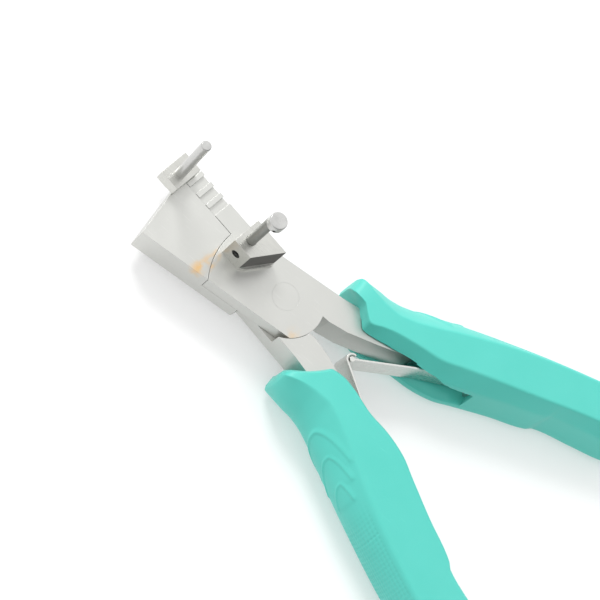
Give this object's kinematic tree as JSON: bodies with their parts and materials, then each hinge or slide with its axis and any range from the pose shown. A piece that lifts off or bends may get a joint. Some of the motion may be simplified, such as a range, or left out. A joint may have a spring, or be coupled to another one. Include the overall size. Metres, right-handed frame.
{
  "type": "reverse-action pliers",
  "caption": "Lap-joint pliers whose jaws spread when squeezed, with gauge pins on adjustable head blocks, hooked leaf return springs and contoured teal grips.",
  "frame": {"origin": "on the pivot axis, in the plane of the steel's back face", "axes": "+Z out of the front face along the pivot, +Y along the centre line to the jaw tips, +X to the grooved arm's side"},
  "size_m": [0.1074, 0.1527, 0.0406],
  "materials": {
    "satin_steel": "bead-blasted satin stainless steel",
    "block_steel": "fine machined satin steel",
    "ground_steel": "fine ground bright steel",
    "dark_steel": "dark hardened steel",
    "spring_steel": "polished spring steel strip",
    "teal_grip": "moulded static-dissipative plastic, fine satin"
  },
  "bodies": {
    "front_half": {"front_lever": "satin_steel", "pivot_rivet": "satin_steel", "tip_pin_block": "block_steel", "tip_pin": "ground_steel", "tip_block_screw": "dark_steel", "clamp_block": "block_steel", "clamp_block_screws": "dark_steel", "block_set_screw": "dark_steel", "right_grip": "teal_grip"},
    "rear_half": {"rear_lever": "satin_steel", "left_grip": "teal_grip"},
    "left_leaf": {"left_leaf_spring": "spring_steel"},
    "right_leaf": {"right_leaf_spring": "spring_steel"},
    "turning_pin": {"collar_pin": "dark_steel", "eccentric_collar": "ground_steel", "collar_set_screw": "dark_steel"}
  },
  "joints": [
    {"name": "squeeze", "type": "hinge", "parent": "front_half", "child": "rear_half", "pos_m": [0, 0, 0.0048], "axis": [0, 0, 1], "range_deg": [0, 15], "stiffness_Nm_per_rad": 2, "springref_deg": -5.73},
    {"name": "left_leaf_swing", "type": "hinge", "parent": "rear_half", "child": "left_leaf", "pos_m": [-0.02131, -0.05578, 0.0048], "axis": [0, 0, 1], "range_deg": [0, 5.3]},
    {"name": "right_leaf_swing", "type": "hinge", "parent": "front_half", "child": "right_leaf", "pos_m": [0.02131, -0.05578, 0.0048], "axis": [0, 0, -1], "range_deg": [0, 5.3]},
    {"name": "collar_turn", "type": "hinge", "parent": "front_half", "child": "turning_pin", "pos_m": [0.00045, 0.01719, 0.02], "axis": [0, 0, 1], "continuous": true}
  ],
  "couplings": [
    {"joint": "left_leaf_swing", "follows": "squeeze", "ratio": 0.35},
    {"joint": "right_leaf_swing", "follows": "squeeze", "ratio": 0.35}
  ]
}
